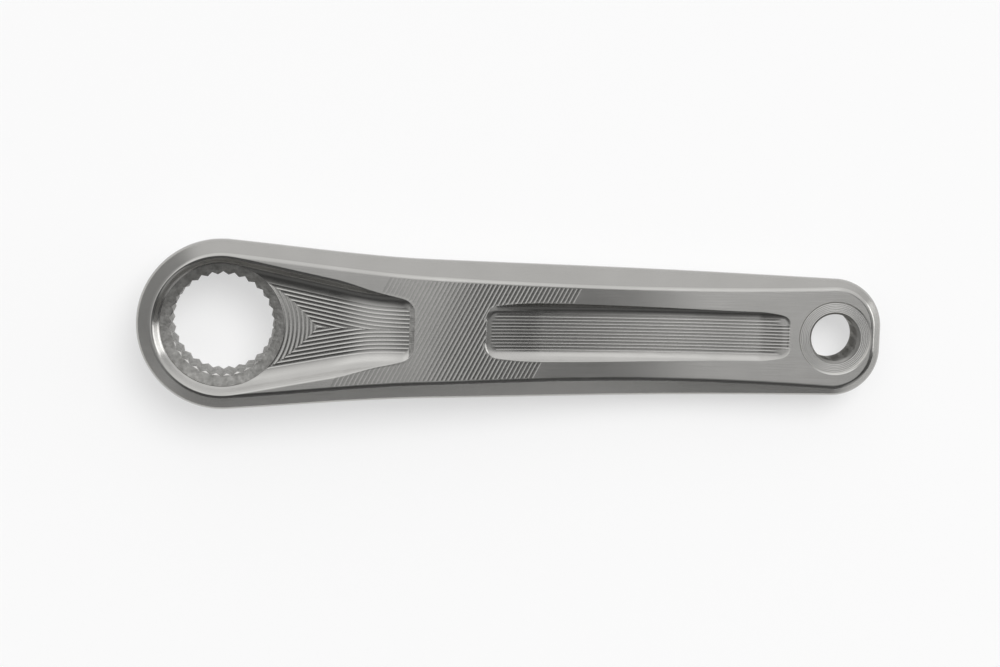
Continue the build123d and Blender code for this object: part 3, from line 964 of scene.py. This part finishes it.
ALUMINIUM_FINISHES = [
    # satin bevels and sides: an even grey sheen, with faint long streaks from the polishing wheel;
    # its grey, darker than the face's, is painted shade for the dark surroundings that they mirror
    ("polished_aluminium_bevel_painted_shade", "#B6B5B2", "#ACABA8", 9, (0.21, 0.25), (14.0, 1.2, 1.2), 0.0004),
    # plain face: brush lines that break its reflection up across the arm, drawn coarser than real
    # ones, which are finer than a pixel here
    ("brushed_aluminium_face", "#CDCCC9", "#C2C1BE", 9, (0.18, 0.25), (16.0, 0.22, 16.0), 0.005),
    # milled floors and slanted passes: clean cut metal, so that every ridge draws a light line
    ("ridged_milled_aluminium", "#C8C7C4", "#BAB9B6", 9, (0.18, 0.26), (0.4, 0.4, 0.4), 0.0015),
    # coves: rubbed smooth by the ball of the cutter, the brightest and darkest streaks of the arm
    ("burnished_aluminium_cove", "#C6C5C2", "#BAB9B6", 9, (0.16, 0.24), (4.0, 0.5, 0.5), 0.0006),
    # ledge round the teeth: torn and dull, mottled with bright specks, drawn coarser than real ones
    ("dull_machined_aluminium", "#D8D7D4", "#7A7976", 1.6, (0.45, 0.75), (1.3, 1.3, 1.3), 0.3),
    # washer seat and tooth ends: turned, with a faint ring in every reflection, and a lighter grey
    # than the rest, which is a painted sheen
    ("turned_aluminium_seat_painted_sheen", "#E2E1DE", "#D6D5D2", 9, (0.18, 0.24), (0.4, 0.4, 0.4), 0.0003),
    # thread: cut with a tap and rougher; its darker grey is painted shade, so that the hole reads
    # darker than its seat
    ("tapped_aluminium_thread_painted_shade", "#BFBEBB", "#AAA9A6", 2, (0.3, 0.42), (0.4, 0.4, 0.4), 0.0003),
]
for finish in ALUMINIUM_FINISHES:
    mesh.materials.append(aluminium(*finish))
print("finishes:", [material.name for material in mesh.materials])

# %% [markdown]
# ## The piece and the part
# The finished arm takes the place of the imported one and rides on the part's only body. Both could
# be shown, but two surfaces in one place flicker.

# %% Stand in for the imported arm
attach(arm, "root")
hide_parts("crank_arm")

# %% [markdown]
# ## Floor
# The arm lies on white paper, outer face up. More light could make the paper white, but it would
# burn out the metal. So the paper is part plain paper, which keeps the arm's shadow, and part
# white light that only the camera and reflections see. That share dims away from the arm, so that
# the bevels don't mirror a glowing horizon.

# %% Floor
FLOOR_HALF, FLOOR_DROP = 4, 0.0003
floor_mesh = bpy.data.meshes.new("pale_floor")
floor_corners = ((-1, -1), (1, -1), (1, 1), (-1, 1))
floor_mesh.from_pydata(
    [(FLOOR_HALF * x, FLOOR_HALF * y, -FLOOR_DROP) for x, y in floor_corners], [], [(0, 1, 2, 3)])
floor = add_object("pale_floor", floor_mesh)
floor_paint = bpy.data.materials.new("matt_white_paper")
tree = own_tree(floor_paint)
# matt paper: an even off-white with no shine
paper = add_node(tree, "BsdfPrincipled", {"Base Color": linear("#F4F4F4"), "Roughness": 0.9})
white = add_node(tree, "Emission", {"Color": linear("#FFFFFF"), "Strength": 1.0})
ray = add_node(tree, "LightPath").outputs
seen = combine(
    tree, "ADD", ray["Is Camera Ray"], ray["Is Glossy Ray"], ray["Is Transmission Ray"])
where = add_node(tree, "TexCoord").outputs["Object"]
distance = add_node(tree, "VectorMath", {0: where}, operation="LENGTH").outputs["Value"]
white_share = combine(tree, "MULTIPLY", seen, fade(tree, distance, 0.3, 1.0, 0.55, 0.1))
both = add_node(tree, "MixShader", {
    "Fac": white_share, 1: paper.outputs["BSDF"], 2: white.outputs["Emission"]})
add_node(tree, "OutputMaterial", {"Surface": both.outputs["Shader"]})
floor_mesh.materials.append(floor_paint)
print("floor:", 2 * FLOOR_HALF, "m wide")

# %% [markdown]
# ## Lamps
# A softbox at the pedal end picks out the end's bevel, and a broad soft light gives the arm its
# shadow. One lamp could do both, but it would show in the metal as a hot spot. So the second one
# is hidden from reflections.

# %% Lamps


def add_lamp(name, kind, place, aim, power, **settings):
    """Adds a lamp at place, in metres, whose light falls towards aim."""
    lamp = add_object(name, bpy.data.lights.new(name, kind))
    lamp.data.energy = power
    for key, value in settings.items():
        setattr(lamp.data, key, value)
    lamp.location = place
    lamp.rotation_euler = (Vector(aim) - Vector(place)).to_track_quat("-Z", "Y").to_euler()
    return lamp


side_box = add_lamp(
    "side_softbox", "AREA", (1.0, 0.12, 0.22), (0.0, 0.0, 0.01), 0.9,
    shape="RECTANGLE", size=0.5, size_y=0.3)
floor_light = add_lamp(
    "floor_light", "SUN", (0.3, 0.5, 1.0), (0.0, 0.0, 0.0), 1.7, angle=np.radians(35))
floor_light.visible_glossy = False
print("lamps:", side_box.name, floor_light.name)

# %% [markdown]
# ## The studio that the metal mirrors
# Polished metal shows what stands round it. A photographed room could be loaded as a picture. Here
# the world is a few soft areas that can each be moved alone: a glow on the far side, which the
# lower coves mirror; a dim near side, which leaves the upper coves dark; two openings in it
# overhead, for the trough's ramp and the pedal end; a dark gap on the right, which the falling
# middle of the face mirrors; a grey wall on the left.

# %% World
OPENING_GAIN, WALL_GREY, CORNER_GREY = 0.35, 0.34, 0.4
world = bpy.data.worlds.new("studio")
sky = own_tree(world)
toward = add_node(sky, "TexCoord").outputs["Generated"]
along_x, along_y, along_z = add_node(sky, "SeparateXYZ", {"Vector": toward}).outputs
far_side = add_node(
    sky, "VectorMath", {0: toward, 1: (0.0, 0.87, 0.49)}, operation="DOT_PRODUCT").outputs["Value"]
overhead = (along_z, 0.5, 0.8, 0, 1)


def area(*fades):
    """Soft area of the world: the product of its fades, one for each border."""
    return combine(sky, "MULTIPLY", *(fade(sky, *border) for border in fades))


glow = area((far_side, -0.4, 0.95, 0.05, 0.95))
overhead_left = area(overhead, (along_x, -0.3, -0.12, 1, 0))
overhead_right = area(overhead, (along_x, 0.1, 0.18, 0, 1), (along_x, 0.24, 0.29, 1, 0))
openings = combine(sky, "MAXIMUM", overhead_left, overhead_right)
# corner of the room that the lower corner of the pedal end mirrors
near_corner = area((along_x, 0.36, 0.46, 0, 1), (along_y, -0.6, -0.45, 1, 0))
near_side = combine(sky, "MAXIMUM", area((along_y, -0.22, -0.1, 0.3, 1)), openings, near_corner)
right_gap = area(
    (along_x, 0.24, 0.295, 0, 0.85), (along_x, 0.38, 0.5, 1, 0.3),
    (along_y, -0.45, -0.3, 0, 1), (along_y, 0.1, 0.24, 1, 0))
# deepens the gap towards the near side, which the strip below the pocket mirrors
lower_gap = area(
    (along_x, 0.19, 0.26, 0, 1), (along_x, 0.34, 0.4, 1, 0), (along_y, -0.17, -0.09, 0.5, 0))
level = combine(
    sky, "MULTIPLY", glow, combine(sky, "SUBTRACT", 1, right_gap),
    combine(sky, "SUBTRACT", 1, lower_gap), near_side,
    combine(sky, "ADD", 1, combine(sky, "MULTIPLY", OPENING_GAIN, openings)))
left_wall = area((along_x, -0.65, -0.35, 0.85, 0))
level = add_node(sky, "Mix", {"Factor": left_wall, "A": level, "B": WALL_GREY}).outputs["Result"]
# least light of all, strongest in a low band, so that the face isn't black when seen from behind
low_band = area((along_z, 0.18, 0.32, 0.06, 0.14), (along_z, 0.5, 0.64, 1, 0.43))
level = combine(sky, "MAXIMUM", level, low_band, combine(sky, "MULTIPLY", CORNER_GREY, near_corner))
backdrop = add_node(sky, "Background", {"Color": linear("#FFFFFF"), "Strength": level})
add_node(sky, "OutputWorld", {"Surface": backdrop.outputs["Background"]})
bpy.context.scene.world = world
bpy.context.scene.view_settings.view_transform = "Standard"
print("world nodes:", len(sky.nodes))

# %% [markdown]
# ## Camera
# The arm is seen almost straight down. An orthographic camera would hide the walls of the two
# holes, so a long lens looks at it from about 0.7 m.

# %% Camera
camera = add_object("camera", bpy.data.cameras.new("camera"))
camera.data.sensor_width = 36.0
camera.data.lens = 89.2
camera.location = (0.0272, 0.0842, 0.6903)
camera.rotation_euler = np.radians((-7.29, -3.89, 1.95))
bpy.context.scene.camera = camera
print("camera", round(camera.location.z, 3), "m above the floor")
